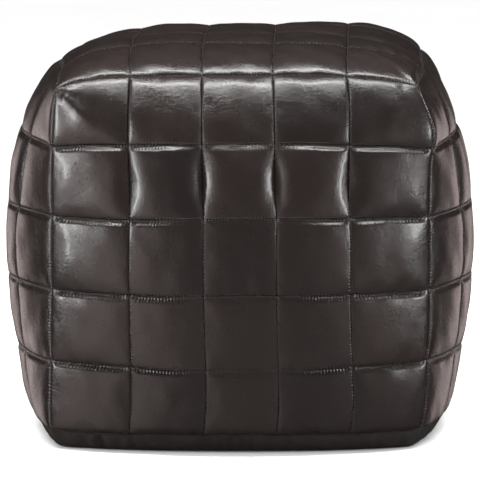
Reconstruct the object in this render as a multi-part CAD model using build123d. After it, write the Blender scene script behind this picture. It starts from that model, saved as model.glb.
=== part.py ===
from build123d import *

import math
import os

import numpy as np

# A square leather pouf: twenty-five patches on each side and on the top, sewn edge to edge,
# over a stuffed liner. Its base is a plain panel in two halves, closed by a zip.
# Origin: bottom centre. +X right, +Y towards the back, +Z up. Millimetres.

# Form, measured along the seams
CORNER_SEAM_SPAN = 340.0        # from one corner seam to the next, at mid height
TOP_SEAM_HEIGHT = 346.0         # seam round the top, at the middle of a side
BASE_SEAM_HEIGHT = 21.0         # seam round the base, at the middle of a side
CROWN = 31.0                    # rise of the top's centre above its seam
TOP_TAPER = 3.3                 # how far the top corners pull in
TOP_CORNER_DROOP = 10.0         # drop of the top seam at a corner
BASE_CORNER_LIFT = 4.5          # rise of the base seam at a corner
MIDDLE_BULGE = 54.0             # swell of a side beyond its corner seams, at its widest
TOP_BULGE = 14.6                # the same at the top seam
BASE_BULGE = 30.0               # the same at the base seam
WIDEST_LEVEL = -0.08            # height of the widest level, from -1 at the base to 1 at the top
LEVEL_POWER = 2.56              # how squarely the swell fades towards top and base
BULGE_POWER = 2.67              # how squarely a side swells between its corner seams
CROWN_POWER = 3.75              # how squarely the top swells between its edges
CORNER_POWER = 6                # how close to a corner its seam begins to droop or lift
COLUMN_EASE = -0.019            # outer columns a little wider than the middle one
ROW_EASE = 0.068                # outer rows a little lower than the middle one

# Leather cover
PATCHES = 5                     # patches along each edge of a face
LEATHER = 1.4                   # thickness of the leather
PUFF = 4.0                      # rise of a patch's middle above its seams
SEAM_GAP = 1.6                  # between two patches of one face
EDGE_GAP = 1.5                  # from a patch to the corner, top or base seam
THREAD = 0.8                    # thickness of the sewing thread
THREAD_DEPTH = 0.6              # depth of a thread's middle below the seam line
THREAD_END_GAP = 4.0            # where a thread stops short of the next seam

# Base panel
BASE_PANEL = 1.6                # thickness
FLAT_SHARE = 0.8                # share of the base that lies flat
SKIRT_POWER = 2.2               # how squarely the base turns up to its seam
TROUGH_HALF_WIDTH = 20.0        # recess that keeps the zip off the floor
TROUGH_HEIGHT = 7.0

# Liner and stuffing
LINER_DEPTH = 1.9               # below the seam line
LINER = 1.2                     # thickness
STUFFING_DEPTH = 3.4            # below the seam line
LINER_TROUGH_HALF_WIDTH = 45.0
LINER_TROUGH_HEIGHT = 13.0

# Zip, along X under the middle of the base
ZIP_OPENING = 12.0              # between the two halves of the base panel
ZIP_TAPE = 0.6                  # thickness
ZIP_TAPE_DEPTH = 1.7            # above the base panel's underside
ZIP_TAPE_HALF_WIDTH = 13.0
ZIP_TAPE_INNER = 2.9            # from the centre line to the tape's edge
ZIP_TAPE_HALF_LENGTH = 156.0
CHAIN_INNER = 0.6               # from the centre line to the teeth
CHAIN_OUTER = 2.5
CHAIN_HEIGHT = 2.4
CHAIN_HALF_LENGTH = 145.8
STOP_LENGTH = 3.0
STOP_HEIGHT = 2.8
TACK_GAP = 1.0                  # from the panel's edge to its row of stitches
TACK_THICKNESS = 0.6
TACK_CLEARANCE = 0.05

SLIDER_LENGTH = 13.0
SLIDER_WIDTH = 9.8
SLIDER_PLATE = 1.2
SLIDER_GAP = 2.8                # between its two plates
SLIDER_FLANGE = 0.8
SLIDER_TAPE_SLOT = 1.0
SLIDER_DIVIDER = 0.8
SLIDER_CORNER = 2.5
SLIDER_CLOSED_X = 138.0
BAIL_LENGTH = 9.0
BAIL_WIDTH = 1.6
BAIL_THICKNESS = 0.9
TAB_LENGTH = 24.0
TAB_WIDTH = 7.0
TAB_THICKNESS = 1.1
TAB_CLEARANCE = 0.35            # all round the bar that the tab turns on
TAB_WINDOW_LENGTH = 5.4
TAB_WINDOW_WIDTH = 2.6
TAB_BAR_LENGTH = 4.4
TAB_HOLE_RADIUS = 1.3

DEGREE = 5                      # of the curved faces
FINE_DEGREE = 8                 # across the zip's recess

HALF = CORNER_SEAM_SPAN / 2
BASE_HALF = HALF + BASE_BULGE
TROUGH_V = TROUGH_HALF_WIDTH / BASE_HALF
LINER_TROUGH_V = LINER_TROUGH_HALF_WIDTH / BASE_HALF
TAPE_Z = TROUGH_HEIGHT + ZIP_TAPE_DEPTH + ZIP_TAPE / 2


# ---- The form: every sheet and thread follows one of these three surfaces ----

def share(value):
    """A value held between 0 and 1."""
    return min(max(value, 0.0), 1.0)


def eased(a, ease):
    """Spacing of the seams across a face, from -1 to 1."""
    return (1 + ease) * a - ease * a ** 3


def swell(a):
    return 1 - abs(a) ** BULGE_POWER


def bulge(level):
    """Swell of a side at a level from -1, the base seam, to 1, the top seam."""
    above = share((level - WIDEST_LEVEL) / (1 - WIDEST_LEVEL)) ** LEVEL_POWER
    below = share((WIDEST_LEVEL - level) / (1 + WIDEST_LEVEL)) ** LEVEL_POWER
    return MIDDLE_BULGE - (MIDDLE_BULGE - TOP_BULGE) * above - (MIDDLE_BULGE - BASE_BULGE) * below


def half_width(level):
    """Half the distance between two corner seams."""
    return HALF - TOP_TAPER * share(level) ** 4


def front_point(a, level, depth):
    """A point of the front face; depth is measured inwards from the seam line."""
    half = half_width(level) - depth
    top = TOP_SEAM_HEIGHT - depth
    base = BASE_SEAM_HEIGHT + depth
    corner = abs(a) ** CORNER_POWER
    height = (top + base) / 2 + (top - base) / 2 * eased(level, ROW_EASE)
    height -= TOP_CORNER_DROOP * corner * ((1 + level) / 2) ** 3
    height += BASE_CORNER_LIFT * corner * ((1 - level) / 2) ** 3
    return half * eased(a, COLUMN_EASE), -(half + bulge(level) * swell(a)), height


def top_point(u, v, depth):
    half = half_width(1) - depth
    across = eased(u, COLUMN_EASE)
    along = eased(v, COLUMN_EASE)
    x = across * (half + TOP_BULGE * swell(v))
    y = along * (half + TOP_BULGE * swell(u))
    crown = CROWN * (1 - abs(u) ** CROWN_POWER) * (1 - abs(v) ** CROWN_POWER)
    corner = abs(u * v) ** CORNER_POWER
    return x, y, TOP_SEAM_HEIGHT - depth + crown - TOP_CORNER_DROOP * corner


def base_point(u, v, depth, trough=TROUGH_HEIGHT, trough_v=TROUGH_V, trough_power=4):
    """A point of the base: flat in the middle, turned up to its seam, recessed along the zip."""
    half = HALF - depth
    across = eased(u, COLUMN_EASE)
    along = eased(v, COLUMN_EASE)
    x = across * (half + BASE_BULGE * swell(v))
    y = along * (half + BASE_BULGE * swell(u))
    turned_u = share((abs(u) - FLAT_SHARE) / (1 - FLAT_SHARE)) ** SKIRT_POWER
    turned_v = share((abs(v) - FLAT_SHARE) / (1 - FLAT_SHARE)) ** SKIRT_POWER
    turned = 1 - (1 - turned_u) * (1 - turned_v)
    corner = abs(u * v) ** CORNER_POWER
    recess = (1 - share(abs(v) / trough_v) ** trough_power) ** 2
    z = depth + turned * (BASE_SEAM_HEIGHT + BASE_CORNER_LIFT * corner)
    return x, y, z + trough * recess * (1 - turned)


def liner_base_point(u, v, depth):
    return base_point(u, v, depth, LINER_TROUGH_HEIGHT, LINER_TROUGH_V, 2)


def turned_about_z(point, quarter_turns):
    """The same face, turned round to another side of the pouf."""
    cos, sin = ((1, 0), (0, 1), (-1, 0), (0, -1))[quarter_turns]

    def placed(a, level, depth):
        x, y, z = point(a, level, depth)
        return x * cos - y * sin, x * sin + y * cos, z

    return placed


FACES = {
    "front": front_point,
    "right": turned_about_z(front_point, 1),
    "back": turned_about_z(front_point, 2),
    "left": turned_about_z(front_point, 3),
    "top": top_point,
}


# ---- Curved faces and the solids that they close ----

def bezier_inverse(degree):
    """Turns evenly spaced samples of a curve into the control points of a curve through them."""
    steps = np.linspace(0, 1, degree + 1)
    rows = [
        [math.comb(degree, k) * t ** k * (1 - t) ** (degree - k) for k in range(degree + 1)]
        for t in steps
    ]
    return np.linalg.inv(np.array(rows))


def curve(point, degree=DEGREE):
    """Bezier edge through point(t), t from 0 to 1."""
    samples = np.array([point(t) for t in np.linspace(0, 1, degree + 1)])
    net = bezier_inverse(degree) @ samples
    return Edge.make_bezier(*[tuple(p) for p in net])


def surface(point, degree_s=DEGREE, degree_t=DEGREE):
    """Bezier face through point(s, t), both from 0 to 1. Its borders depend on its borders only."""
    grid = [
        [point(s, t) for t in np.linspace(0, 1, degree_t + 1)]
        for s in np.linspace(0, 1, degree_s + 1)
    ]
    net = np.einsum("ij,jkx,lk->ilx", bezier_inverse(degree_s), np.array(grid), bezier_inverse(degree_t))
    return Face.make_bezier_surface([[tuple(p) for p in row] for row in net])


def between(low, high, t):
    return low + (high - low) * t


def flat_face(point):
    """Plane face inside the border of a flat stretch of point(s, t)."""
    border = [
        curve(lambda t: point(t, 0)),
        curve(lambda t: point(1, t)),
        curve(lambda t: point(1 - t, 1)),
        curve(lambda t: point(0, 1 - t)),
    ]
    return Face(Wire(border))


def closed_solid(faces):
    solid = Solid(Shell(faces))
    if solid.volume < 0:
        solid = Solid(Shell([-face for face in faces]))
    return solid


def sheet(point, u_cuts, v_cuts, v_degrees=None, flat_cell=None):
    """Closed sheet from point(u, v, 0), its outside, to point(u, v, 1), its inside.

    The cuts divide it into cells, and flat_cell is the one whose two faces are plane.
    """
    v_degrees = v_degrees or [DEGREE] * (len(v_cuts) - 1)
    u_bands = list(zip(u_cuts, u_cuts[1:]))
    v_bands = list(zip(v_cuts, v_cuts[1:]))
    faces = []
    for i, (u0, u1) in enumerate(u_bands):
        for j, (v0, v1) in enumerate(v_bands):
            for side in (0, 1):
                def cell(s, t):
                    return point(between(u0, u1, s), between(v0, v1, t), side)

                if (i, j) == flat_cell:
                    faces.append(flat_face(cell))
                else:
                    faces.append(surface(cell, DEGREE, v_degrees[j]))
    for u0, u1 in u_bands:
        for v in (v_cuts[0], v_cuts[-1]):
            faces.append(surface(lambda s, w: point(between(u0, u1, s), v, w), DEGREE, 1))
    for (v0, v1), degree in zip(v_bands, v_degrees):
        for u in (u_cuts[0], u_cuts[-1]):
            faces.append(surface(lambda t, w: point(u, between(v0, v1, t), w), degree, 1))
    return closed_solid(faces)


def cord(centre_line, first=(1, 0, 0), second=(0, 0, 1)):
    """Square cord of the thread's thickness along centre_line(t), t from 0 to 1."""
    offsets = [THREAD / 2 * np.array(first), THREAD / 2 * np.array(second)]

    def corner(t, i, j):
        return tuple(np.array(centre_line(t)) + i * offsets[0] + j * offsets[1])

    corners = [(-1, -1), (1, -1), (1, 1), (-1, 1)]
    faces = []
    for (i0, j0), (i1, j1) in zip(corners, corners[1:] + corners[:1]):
        faces.append(surface(lambda t, w: corner(t, between(i0, i1, w), between(j0, j1, w)), DEGREE, 1))
    for end in (0, 1):
        faces.append(surface(lambda s, w: corner(end, 2 * s - 1, 2 * w - 1), 1, 1))
    return closed_solid(faces)


# ---- Leather patches ----

def column_edges(index):
    """The two seam lines of a column or row, pulled in by the gap at each."""
    step = 2 / PATCHES
    low = -1 + index * step
    high = low + step
    low += (EDGE_GAP if index == 0 else SEAM_GAP / 2) / HALF
    high -= (EDGE_GAP if index == PATCHES - 1 else SEAM_GAP / 2) / HALF
    return low, high


def patch(face_point, column, row):
    """One leather patch: a sheet of even thickness, pinched at its seams and puffed between them."""
    u0, u1 = column_edges(column)
    v0, v1 = column_edges(row)

    def point(u, v, side):
        s = 2 * (u - u0) / (u1 - u0) - 1
        t = 2 * (v - v0) / (v1 - v0) - 1
        puff = PUFF * (1 - s ** 2) * (1 - t ** 2)
        return face_point(u, v, LEATHER * side - puff)

    return sheet(point, (u0, u1), (v0, v1))


def patch_row(face, row):
    """Row 1 is the top row of a side, or the row of the top that is nearest the front."""
    from_low = row - 1 if face == "top" else PATCHES - row
    return Compound([patch(FACES[face], column, from_low) for column in range(PATCHES)])


# ---- Seam threads ----

def seam_thread(face):
    """Thread of one face: whole lines one way, and lines cut at each crossing the other way."""
    point = FACES[face]
    normal_axis = {"front": 1, "back": 1, "left": 0, "right": 0, "top": 2}[face]
    axes = np.eye(3)
    depth_axis = axes[normal_axis]
    across_axis = axes[1 - normal_axis] if normal_axis < 2 else axes[0]
    along_axis = axes[2] if normal_axis < 2 else axes[1]
    seams = [-1 + 2 * k / PATCHES for k in range(1, PATCHES)]
    end = 1 - THREAD_END_GAP / HALF
    stops = [-end] + seams + [end]
    gap = THREAD / HALF
    lines = []
    for a in seams:
        lines.append(cord(lambda t: point(a, between(-end, end, t), THREAD_DEPTH), across_axis, depth_axis))
        for k, (start, stop) in enumerate(zip(stops, stops[1:])):
            low = start + (gap if k else 0)
            high = stop - (gap if k < PATCHES - 1 else 0)
            lines.append(cord(lambda t: point(between(low, high, t), a, THREAD_DEPTH), along_axis, depth_axis))
    return Compound(lines)


def edge_thread(level):
    """Thread of the seam round the top or the base, one length to a side."""
    end = 1 - THREAD_END_GAP / HALF
    lengths = []
    for face in ("front", "right", "back", "left"):
        point = FACES[face]
        first = (0, 1, 0) if face in ("front", "back") else (1, 0, 0)
        lengths.append(cord(lambda t: point(between(-end, end, t), level, THREAD_DEPTH), first))
    return Compound(lengths)


def corner_thread():
    """Thread of the four upright corner seams."""
    end = 1 - THREAD_END_GAP / HALF
    lengths = []
    for face in ("front", "right", "back", "left"):
        point = FACES[face]
        lengths.append(cord(lambda t: point(1, between(-end, end, t), THREAD_DEPTH), (1, 0, 0), (0, 1, 0)))
    return Compound(lengths)


# ---- Base panel, liner and stuffing ----

def base_panel(side):
    """One half of the base, side -1 for the front half and 1 for the back half."""
    edge = 1 - EDGE_GAP / HALF
    zip_edge = ZIP_OPENING / 2 / BASE_HALF
    u_cuts = (-edge, -FLAT_SHARE, FLAT_SHARE, edge)
    v_cuts = [side * v for v in (edge, FLAT_SHARE, TROUGH_V, zip_edge)]
    return sheet(
        lambda u, v, inside: base_point(u, v, BASE_PANEL * inside),
        u_cuts, v_cuts, (DEGREE, DEGREE, FINE_DEGREE), flat_cell=(1, 1),
    )


def zip_end_tab(side):
    """Closes the gap between the zip's end and the base seam."""
    start = side * ZIP_TAPE_HALF_LENGTH / BASE_HALF
    mid = side * FLAT_SHARE
    end = side * (1 - EDGE_GAP / HALF)
    half = (ZIP_OPENING / 2 - SEAM_GAP / 2) / BASE_HALF
    return sheet(
        lambda u, v, inside: base_point(u, v, BASE_PANEL * inside),
        (start, mid, end), (-half, half), (FINE_DEGREE,),
    )


def filled_form(depth):
    """The whole form as one solid, at a depth below the seam line."""
    cuts = (-1, -FLAT_SHARE, -LINER_TROUGH_V, LINER_TROUGH_V, FLAT_SHARE, 1)
    level_cuts = (-1, -1 / 3, 1 / 3, 1)
    faces = []
    for name, point in list(FACES.items()) + [("base", liner_base_point)]:
        v_cuts = cuts if name in ("top", "base") else level_cuts
        for u0, u1 in zip(cuts, cuts[1:]):
            for v0, v1 in zip(v_cuts, v_cuts[1:]):
                faces.append(surface(lambda s, t: point(between(u0, u1, s), between(v0, v1, t), depth)))
    return closed_solid(faces)


# ---- Zip ----

def zip_tape(side):
    start = ZIP_TAPE_INNER / BASE_HALF
    stop = ZIP_TAPE_HALF_WIDTH / BASE_HALF
    end = ZIP_TAPE_HALF_LENGTH / BASE_HALF - SEAM_GAP / HALF
    return sheet(
        lambda u, v, inside: base_point(u, v, ZIP_TAPE_DEPTH + ZIP_TAPE * inside),
        (-end, end), (side * start, side * stop), (FINE_DEGREE,),
    )


def zip_teeth(side):
    """One side of the coil chain, as a bar of its outer size."""
    width = CHAIN_OUTER - CHAIN_INNER
    bar = Box(2 * CHAIN_HALF_LENGTH, width, CHAIN_HEIGHT)
    bar = fillet(bar.edges().filter_by(Axis.X), width / 4)
    return Pos(0, side * (CHAIN_INNER + CHAIN_OUTER) / 2, TAPE_Z) * bar


def zip_stop_closed():
    """Two stops at the end where the slider rests, one on each side of the chain."""
    width = CHAIN_OUTER - CHAIN_INNER
    x = CHAIN_HALF_LENGTH + STOP_LENGTH / 2 + THREAD / 4
    stop = fillet(Box(STOP_LENGTH, width, STOP_HEIGHT).edges().filter_by(Axis.Z), width / 4)
    y = (CHAIN_INNER + CHAIN_OUTER) / 2
    return Compound([Pos(x, y, TAPE_Z) * stop, Pos(x, -y, TAPE_Z) * stop])


def zip_stop_open():
    """One stop across both sides of the chain, at the end where the zip is open."""
    x = CHAIN_HALF_LENGTH + STOP_LENGTH / 2 + THREAD / 4
    stop = Box(STOP_LENGTH, 2 * CHAIN_OUTER, STOP_HEIGHT)
    stop = fillet(stop.edges().filter_by(Axis.Z), (CHAIN_OUTER - CHAIN_INNER) / 4)
    return Pos(-x, 0, TAPE_Z) * stop


def zip_thread(side):
    """Row of stitches that holds a tape to the edge of the base panel."""
    v = side * (ZIP_OPENING / 2 + TACK_GAP) / BASE_HALF
    wide = side * TACK_THICKNESS / BASE_HALF
    end = ZIP_TAPE_HALF_LENGTH / BASE_HALF
    return sheet(
        lambda u, across, inside: base_point(u, across, -TACK_CLEARANCE - TACK_THICKNESS * (1 - inside)),
        (-end, end), (v, v + wide), (FINE_DEGREE,),
    )


def zip_slider():
    """Two plates joined by a divider, with flanges round the chain and a bail for the pull tab."""
    plate_z = SLIDER_GAP / 2 + SLIDER_PLATE / 2
    plate = Box(SLIDER_LENGTH, SLIDER_WIDTH, SLIDER_PLATE)
    plate = fillet(plate.edges().filter_by(Axis.Z), SLIDER_CORNER)
    flange_height = (SLIDER_GAP - SLIDER_TAPE_SLOT) / 2
    flange_length = SLIDER_LENGTH - 2 * SLIDER_CORNER
    flange = Box(flange_length, SLIDER_FLANGE, flange_height)
    flange_y = SLIDER_WIDTH / 2 - SLIDER_FLANGE / 2
    flange_z = SLIDER_TAPE_SLOT / 2 + flange_height / 2
    divider_length = SLIDER_LENGTH / 4
    divider_x = SLIDER_LENGTH / 2 - divider_length / 2
    body = Pos(divider_x, 0, 0) * Box(divider_length, SLIDER_DIVIDER, SLIDER_GAP)
    for up in (-1, 1):
        body += Pos(0, 0, up * plate_z) * plate
        for across in (-1, 1):
            body += Pos(0, across * flange_y, up * flange_z) * flange
    bar = TAB_THICKNESS + 2 * TAB_CLEARANCE
    bail_height = bar + BAIL_THICKNESS
    bail_top = -SLIDER_GAP / 2 - SLIDER_PLATE
    bail = Box(BAIL_LENGTH, BAIL_WIDTH, bail_height)
    bail = fillet(bail.edges().filter_by(Axis.Y).group_by(Axis.Z)[0], BAIL_THICKNESS)
    bail -= Pos(0, 0, BAIL_THICKNESS / 2) * Box(BAIL_LENGTH - 2 * BAIL_THICKNESS, BAIL_WIDTH, bar)
    body += Pos(0, 0, bail_top - bail_height / 2) * bail
    return Pos(SLIDER_CLOSED_X, 0, TAPE_Z) * body


def tab_axis_z():
    """Height of the bar that the pull tab turns on."""
    return TAPE_Z - SLIDER_GAP / 2 - SLIDER_PLATE - TAB_CLEARANCE - TAB_THICKNESS / 2


def zip_pull_tab():
    """Flat tab whose end bar is held in the slider's bail; it lies back along the closed chain."""
    plate = Pos(-TAB_LENGTH / 2 + TAB_THICKNESS / 2, 0, 0) * Box(TAB_LENGTH, TAB_WIDTH, TAB_THICKNESS)
    plate = fillet(plate.edges().filter_by(Axis.Z).group_by(Axis.X)[0], TAB_WIDTH / 3)
    plate = fillet(plate.edges().filter_by(Axis.Z).group_by(Axis.X)[-1], TAB_THICKNESS / 3)
    bar_round = fillet(plate.edges().filter_by(Axis.Y).group_by(Axis.X)[-1], TAB_THICKNESS * 0.49)
    window_x = -TAB_THICKNESS / 2 - TAB_WINDOW_LENGTH / 2
    window = Pos(window_x, 0, 0) * Box(TAB_WINDOW_LENGTH, TAB_WINDOW_WIDTH, 2 * TAB_THICKNESS)
    hole = Pos(-TAB_LENGTH + TAB_WIDTH / 2, 0, 0) * Cylinder(TAB_HOLE_RADIUS, 2 * TAB_THICKNESS)
    return Pos(SLIDER_CLOSED_X, 0, tab_axis_z()) * (bar_round - window - hole)


# ---- Every node ----

def build_nodes():
    nodes = {}
    for face in FACES:
        for row in range(1, PATCHES + 1):
            nodes[f"{face}_patch_row_{row}"] = patch_row(face, row)
        nodes[f"{face}_seam_thread"] = seam_thread(face)
    nodes["top_edge_thread"] = edge_thread(1)
    nodes["base_edge_thread"] = edge_thread(-1)
    nodes["corner_thread"] = corner_thread()
    for name, side in (("front", -1), ("back", 1)):
        nodes[f"base_panel_{name}"] = base_panel(side)
        nodes[f"zip_tape_{name}"] = zip_tape(side)
        nodes[f"zip_teeth_{name}"] = zip_teeth(side)
        nodes[f"zip_thread_{name}"] = zip_thread(side)
    nodes["zip_end_tab_left"] = zip_end_tab(-1)
    nodes["zip_end_tab_right"] = zip_end_tab(1)
    nodes["zip_stop_closed"] = zip_stop_closed()
    nodes["zip_stop_open"] = zip_stop_open()
    nodes["zip_slider"] = zip_slider()
    nodes["zip_pull_tab"] = zip_pull_tab()
    nodes["liner_bag"] = filled_form(LINER_DEPTH) - filled_form(LINER_DEPTH + LINER)
    nodes["stuffing"] = filled_form(STUFFING_DEPTH)
    return nodes


os.makedirs("parts", exist_ok=True)
for node_name, shape in build_nodes().items():
    export_step(shape, f"parts/{node_name}.step")
    print(node_name, round(shape.volume / 1000, 2), "cm3")
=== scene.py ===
"""Patchwork leather pouf: padded leather patches, stitching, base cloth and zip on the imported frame.

Lengths are in metres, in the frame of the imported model: origin at the bottom centre, +Z up.
"""
import math

import bpy
import numpy as np
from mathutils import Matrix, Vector


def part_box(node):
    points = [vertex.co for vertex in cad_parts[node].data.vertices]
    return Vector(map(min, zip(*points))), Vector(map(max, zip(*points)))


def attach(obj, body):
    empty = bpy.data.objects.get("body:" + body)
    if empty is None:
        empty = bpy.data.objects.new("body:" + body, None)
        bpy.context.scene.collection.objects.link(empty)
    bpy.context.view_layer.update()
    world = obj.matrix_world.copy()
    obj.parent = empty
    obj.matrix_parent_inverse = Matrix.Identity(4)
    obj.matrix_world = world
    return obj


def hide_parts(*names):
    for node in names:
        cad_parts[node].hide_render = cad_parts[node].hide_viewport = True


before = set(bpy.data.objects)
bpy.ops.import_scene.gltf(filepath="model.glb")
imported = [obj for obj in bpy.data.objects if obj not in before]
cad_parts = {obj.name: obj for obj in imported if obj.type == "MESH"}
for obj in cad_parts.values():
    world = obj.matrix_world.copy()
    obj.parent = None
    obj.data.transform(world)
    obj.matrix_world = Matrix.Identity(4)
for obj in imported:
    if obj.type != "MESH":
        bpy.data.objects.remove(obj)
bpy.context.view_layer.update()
MM = 0.001

# ---- The form of the pouf at its seams, inside the frame by the rise of the padding ----
HALF = 170 * MM                 # centre to a corner seam
TOP_SEAM_HEIGHT = 346 * MM
BASE_SEAM_HEIGHT = 21 * MM
CROWN = 26 * MM                 # rise of the top's middle above its edge seam
TOP_TAPER = 3.3 * MM            # how far the top's edge seam pulls in
TOP_CORNER_DROOP = 10 * MM
BASE_CORNER_LIFT = 4.5 * MM
MIDDLE_BULGE = 50.5 * MM        # how far a side swells out past its corner seams
TOP_BULGE = 3 * MM
BASE_BULGE = 27 * MM
WIDEST_LEVEL = -0.08            # levels run from -1 at the base seam to 1 at the top seam
UPPER_POWER = 2.56              # how the bulge fades above the widest level,
LOWER_POWER = 1.5               # below it
BULGE_POWER = 2.67              # and across a side
CROWN_POWER = 3.75
CORNER_POWER = 6
COLUMN_EASE = -0.019            # inner upright seams sit a little nearer the middle
ROW_EASE = 0.068                # inner cross seams sit a little nearer the ends
BASE_HALF = HALF + BASE_BULGE
SIDES = ("front", "right", "back", "left")
FACES = SIDES + ("top",)

PATCHES = 5                     # patches along each edge of a face
SURFACE_STRETCH = 1.08          # a patch on the swollen form over its share of the flat width
PATCH_SIZE = 2 * HALF / PATCHES * SURFACE_STRETCH
SEAM_GAP = 0.03 * MM            # from a patch's edge to the seam line
LEATHER = 1.4 * MM
UNEVENNESS = 0.45 * MM
UNEVENNESS_WAVELENGTH = 30 * MM

BASE_PANEL = 1.6 * MM
BASE_CELLS = (160, 90)          # along and across one half of it
BASE_EASE = 0.6                 # how much finer the cells are at its edges
BASE_REACH = 0.9992             # how near the base cloth comes to its seam
FLAT_SHARE = 0.90               # the base is flat this far out, then turns up to its seam
SKIRT_POWER = 2.4
GATHER = 1.1 * MM               # small gathers where the base cloth is sewn to the leather
GATHER_TURN = 0.045             # their spacing, in radians round the base
GATHER_REACH = 12 * MM
GATHER_START = 2 * MM           # right at the seam they are held flat
GATHER_HEIGHT = 6 * MM          # and they die out below this height
TROUGH_HEIGHT = 7 * MM          # the zip lies in a shallow trough
TROUGH_HALF_WIDTH = 20 * MM
LINER_TROUGH_HEIGHT = 13 * MM
LINER_TROUGH_HALF_WIDTH = 45 * MM
ZIP_OPENING = 12 * MM
ZIP_CLOSES_AT = 0.905           # the opening narrows to nothing past this share of the base
ZIP_CLOSES_OVER = 0.03
LINER_DEPTH = 7.5 * MM          # below the seams
LINER_LUMPS = 2 * MM
FILL_DEPTH = 10 * MM
FILL_LUMPS = 6 * MM
LUMP_WAVELENGTH = 60 * MM
FORM_STEPS = 61                 # points along each edge of the liner's and the fill's faces
FORM_CENTRE = np.array([0, 0, 0.18])

# Folds where the cover is gathered into its upper front corners: from, to, height and width,
# in millimetres.
FOLDS = (
    ((160, -162, 340), (92, -84, 374), 1.9, 5.0),
    ((161, -160, 340), (112, -72, 371), 2.2, 4.5),
    ((162, -158, 340), (133, -62, 366), 2.3, 4.5),
    ((163, -156, 340), (150, -60, 356), 2.4, 4.5),
    ((168, -160, 333), (186, -128, 284), 2.6, 4.0),
    ((169, -154, 334), (194, -112, 292), 2.3, 4.0),
    ((150, -172, 337), (172, -182, 300), 1.8, 5.0),
    ((-164, -164, 336), (-120, -196, 322), 1.3, 5.0),
    ((-158, -172, 325), (-118, -189, 288), 3.4, 9.0),
)
FOLD_FADE = 9 * MM              # a fold dies out this near a seam

# ---- Leather relief ----
PATCH_STEPS = 56
RISE = 4.6 * MM                 # rise of a patch above a seam that is pulled right in
TIGHT_SHOULDER = 1.4 * MM       # the leather turns in at a seam, first steeply,
WIDE_SHOULDER = 8.0 * MM        # then in a wide slope
CORNER_SHOULDER = 14 * MM       # wider still beside a corner seam
TIGHT_SHARE = 0.30
DOME = 0.6 * MM                 # crown of one patch
VALLEYS = (4.6 * MM, 6.2 * MM, 6.0 * MM, 4.8 * MM)      # extra depth of row two's upright seams
VALLEY_REACH = 10.5 * MM
VALLEY_LEVEL = 0.40             # the middle of row two,
VALLEY_HEIGHT = 0.17            # and how far up and down the extra depth goes
CREASE_DEPTH = 0.25 * MM        # sharp turn-in right at the seam
CREASE_REACH = 0.40 * MM
TICK_REACH = 1.0 * MM           # how far from a seam its stitches dent the leather
LIP = 1.7 * MM                  # the leather lies flat under the topstitching below a seam,
LIP_START = 2.6 * MM            # and then swells up
LIP_RUN = 4.6 * MM
LIP_DENT = 0.7                  # how strongly the topstitching dents that flat band
STITCH_PITCH = 3.2 * MM
STITCH_LENGTH = 2.4 * MM
STITCH_RADIUS = 0.36 * MM
STITCH_LIFT = 0.1 * MM          # of a stitch's middle above the leather
STITCH_END_GAP = 2 * MM
ROW_STITCH_OFFSET = 1.3 * MM    # from the seam to its line of stitches
COLUMN_STITCH_OFFSET = 0.9 * MM
EDGE_STITCH_OFFSET = 1.0 * MM
CORNER_STITCH_OFFSET = 1.1 * MM
rng = np.random.default_rng(7)  # draws each patch's tone


def share(value):
    return np.clip(value, 0.0, 1.0)


def smooth(value):
    held = share(value)
    return held * held * (3 - 2 * held)


def eased(a, ease):
    return (1 + ease) * a - ease * a ** 3


def swell(a):
    return 1 - np.abs(a) ** BULGE_POWER


def bulge(level):
    above = share((level - WIDEST_LEVEL) / (1 - WIDEST_LEVEL)) ** UPPER_POWER
    below = share((WIDEST_LEVEL - level) / (1 + WIDEST_LEVEL)) ** LOWER_POWER
    return MIDDLE_BULGE - (MIDDLE_BULGE - TOP_BULGE) * above - (MIDDLE_BULGE - BASE_BULGE) * below


def side_surface(a, level, depth):
    """The front face at a depth below its seams; a and level run from -1 to 1."""
    half = HALF - TOP_TAPER * share(level) ** 4 - depth
    top = TOP_SEAM_HEIGHT - depth
    base = BASE_SEAM_HEIGHT + depth
    corner = np.abs(a) ** CORNER_POWER
    height = (top + base) / 2 + (top - base) / 2 * eased(level, ROW_EASE)
    height = height - TOP_CORNER_DROOP * corner * ((1 + level) / 2) ** 3
    height = height + BASE_CORNER_LIFT * corner * ((1 - level) / 2) ** 3
    return np.stack([half * eased(a, COLUMN_EASE), -(half + bulge(level) * swell(a)), height], -1)


def top_surface(u, v, depth):
    half = HALF - TOP_TAPER - depth
    x = eased(u, COLUMN_EASE) * (half + TOP_BULGE * swell(v))
    y = eased(v, COLUMN_EASE) * (half + TOP_BULGE * swell(u))
    crown = CROWN * (1 - np.abs(u) ** CROWN_POWER) * (1 - np.abs(v) ** CROWN_POWER)
    corner = np.abs(u * v) ** CORNER_POWER
    return np.stack([x, y, TOP_SEAM_HEIGHT - depth + crown - TOP_CORNER_DROOP * corner], -1)


def base_surface(u, v, depth=0.0, trough=TROUGH_HEIGHT, trough_half=TROUGH_HALF_WIDTH, power=4):
    half = HALF - depth
    x = eased(u, COLUMN_EASE) * (half + BASE_BULGE * swell(v))
    y = eased(v, COLUMN_EASE) * (half + BASE_BULGE * swell(u))
    turned_u = share((np.abs(u) - FLAT_SHARE) / (1 - FLAT_SHARE)) ** SKIRT_POWER
    turned_v = share((np.abs(v) - FLAT_SHARE) / (1 - FLAT_SHARE)) ** SKIRT_POWER
    turned = 1 - (1 - turned_u) * (1 - turned_v)
    corner = np.abs(u * v) ** CORNER_POWER
    recess = (1 - share(np.abs(v) * BASE_HALF / trough_half) ** power) ** 2
    z = depth + turned * (BASE_SEAM_HEIGHT + BASE_CORNER_LIFT * corner)
    return np.stack([x, y, z + trough * recess * (1 - turned)], -1)


def liner_base_surface(u, v, depth):
    return base_surface(u, v, depth, LINER_TROUGH_HEIGHT, LINER_TROUGH_HALF_WIDTH, 2)


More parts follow.
